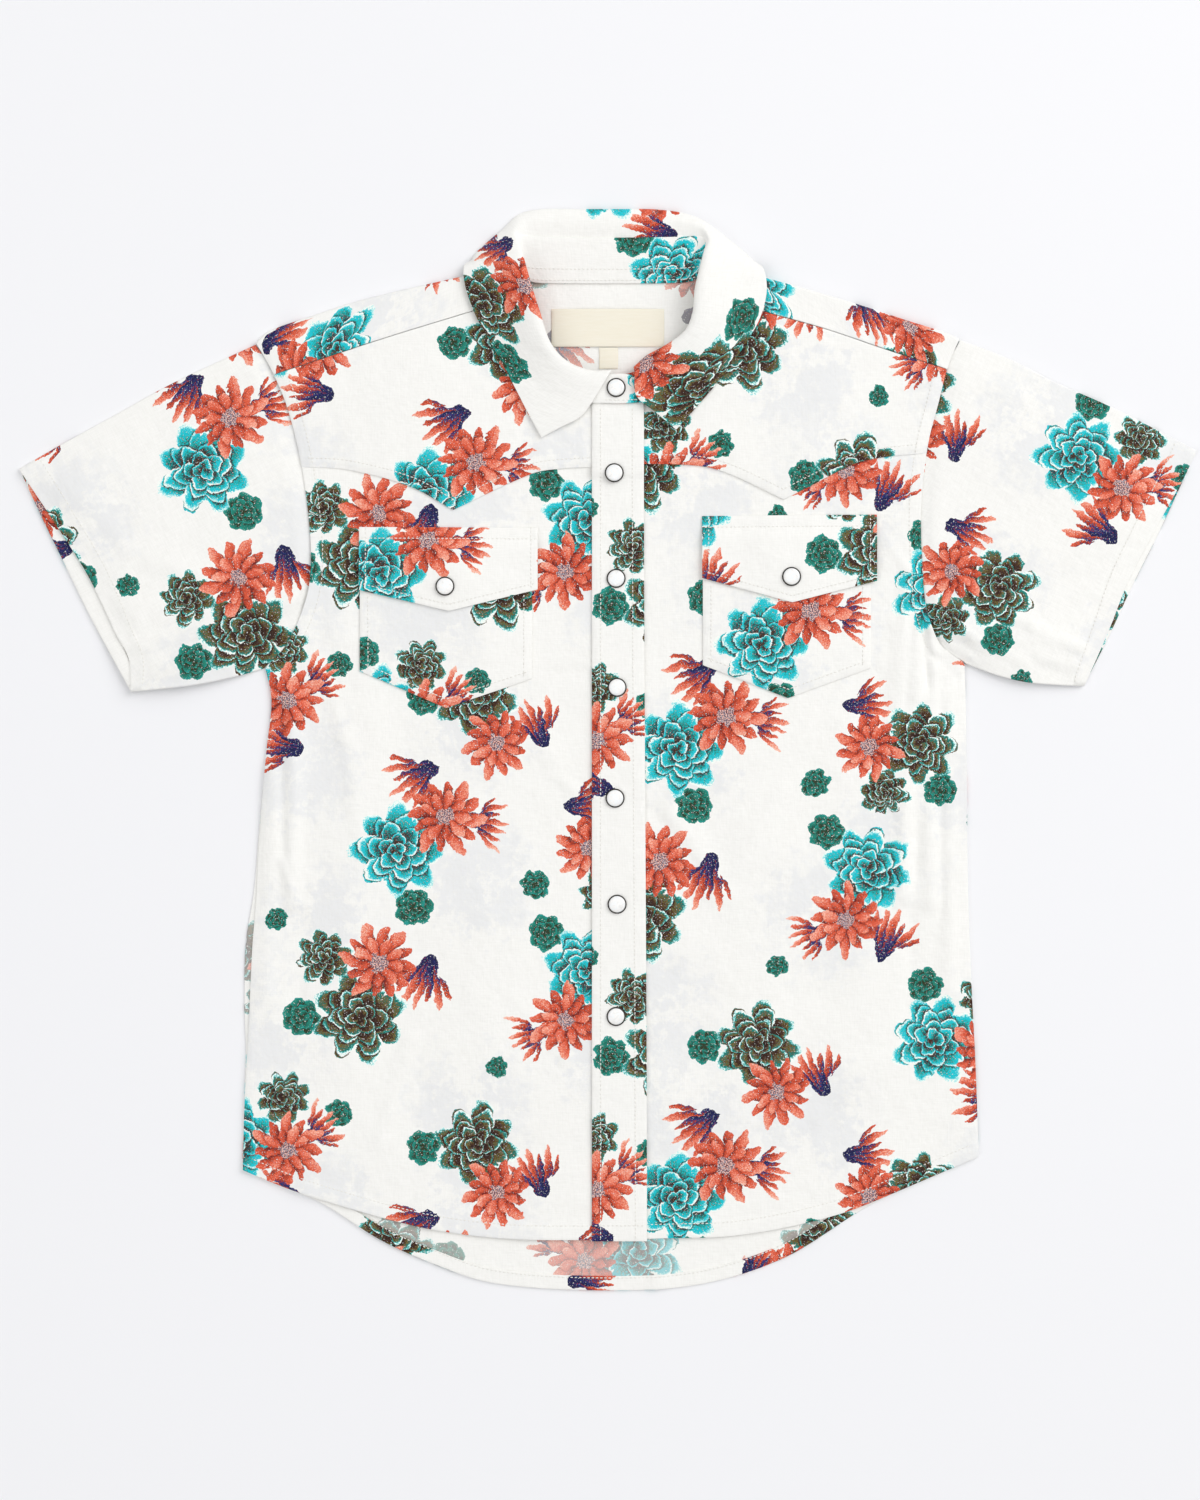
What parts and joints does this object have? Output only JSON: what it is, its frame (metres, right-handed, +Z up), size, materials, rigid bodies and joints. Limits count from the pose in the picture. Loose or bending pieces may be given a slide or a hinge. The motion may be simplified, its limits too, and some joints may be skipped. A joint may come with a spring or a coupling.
{
  "type": "western snap shirt",
  "caption": "Child's short-sleeved western shirt laid flat, with a snap front, pointed yokes, flap pockets and an open collar, in ivory cotton with a scattered flower print.",
  "frame": {"origin": "on the surface it lies on, under the middle of the whole", "axes": "+X across the shirt to the viewer's right, +Y from hem to collar, +Z up from the surface"},
  "size_m": [0.572, 0.5252, 0.0139],
  "materials": {
    "cloth": "matt plain weave cotton, ivory with a printed pattern",
    "label": "matt woven tape, cream, blank",
    "pearl": "glossy pearl",
    "ring": "dull silver"
  },
  "bodies": {
    "root": {"back_panel": "cloth", "back_yoke": "cloth", "front_left": "cloth", "front_right": "cloth", "yoke_left": "cloth", "yoke_right": "cloth", "sleeve_left": "cloth", "sleeve_right": "cloth", "collar_stand": "cloth", "collar_leaf": "cloth", "snap_band": "cloth", "pocket_left": "cloth", "pocket_right": "cloth", "flap_left": "cloth", "flap_right": "cloth", "neck_label": "label", "size_tag": "label", "snap_cap_collar": "pearl", "snap_cap_1": "pearl", "snap_cap_2": "pearl", "snap_cap_3": "pearl", "snap_cap_4": "pearl", "snap_cap_5": "pearl", "snap_cap_6": "pearl", "snap_cap_flap_left": "pearl", "snap_cap_flap_right": "pearl", "snap_ring_collar": "ring", "snap_ring_1": "ring", "snap_ring_2": "ring", "snap_ring_3": "ring", "snap_ring_4": "ring", "snap_ring_5": "ring", "snap_ring_6": "ring", "snap_ring_flap_left": "ring", "snap_ring_flap_right": "ring"}
  },
  "joints": []
}
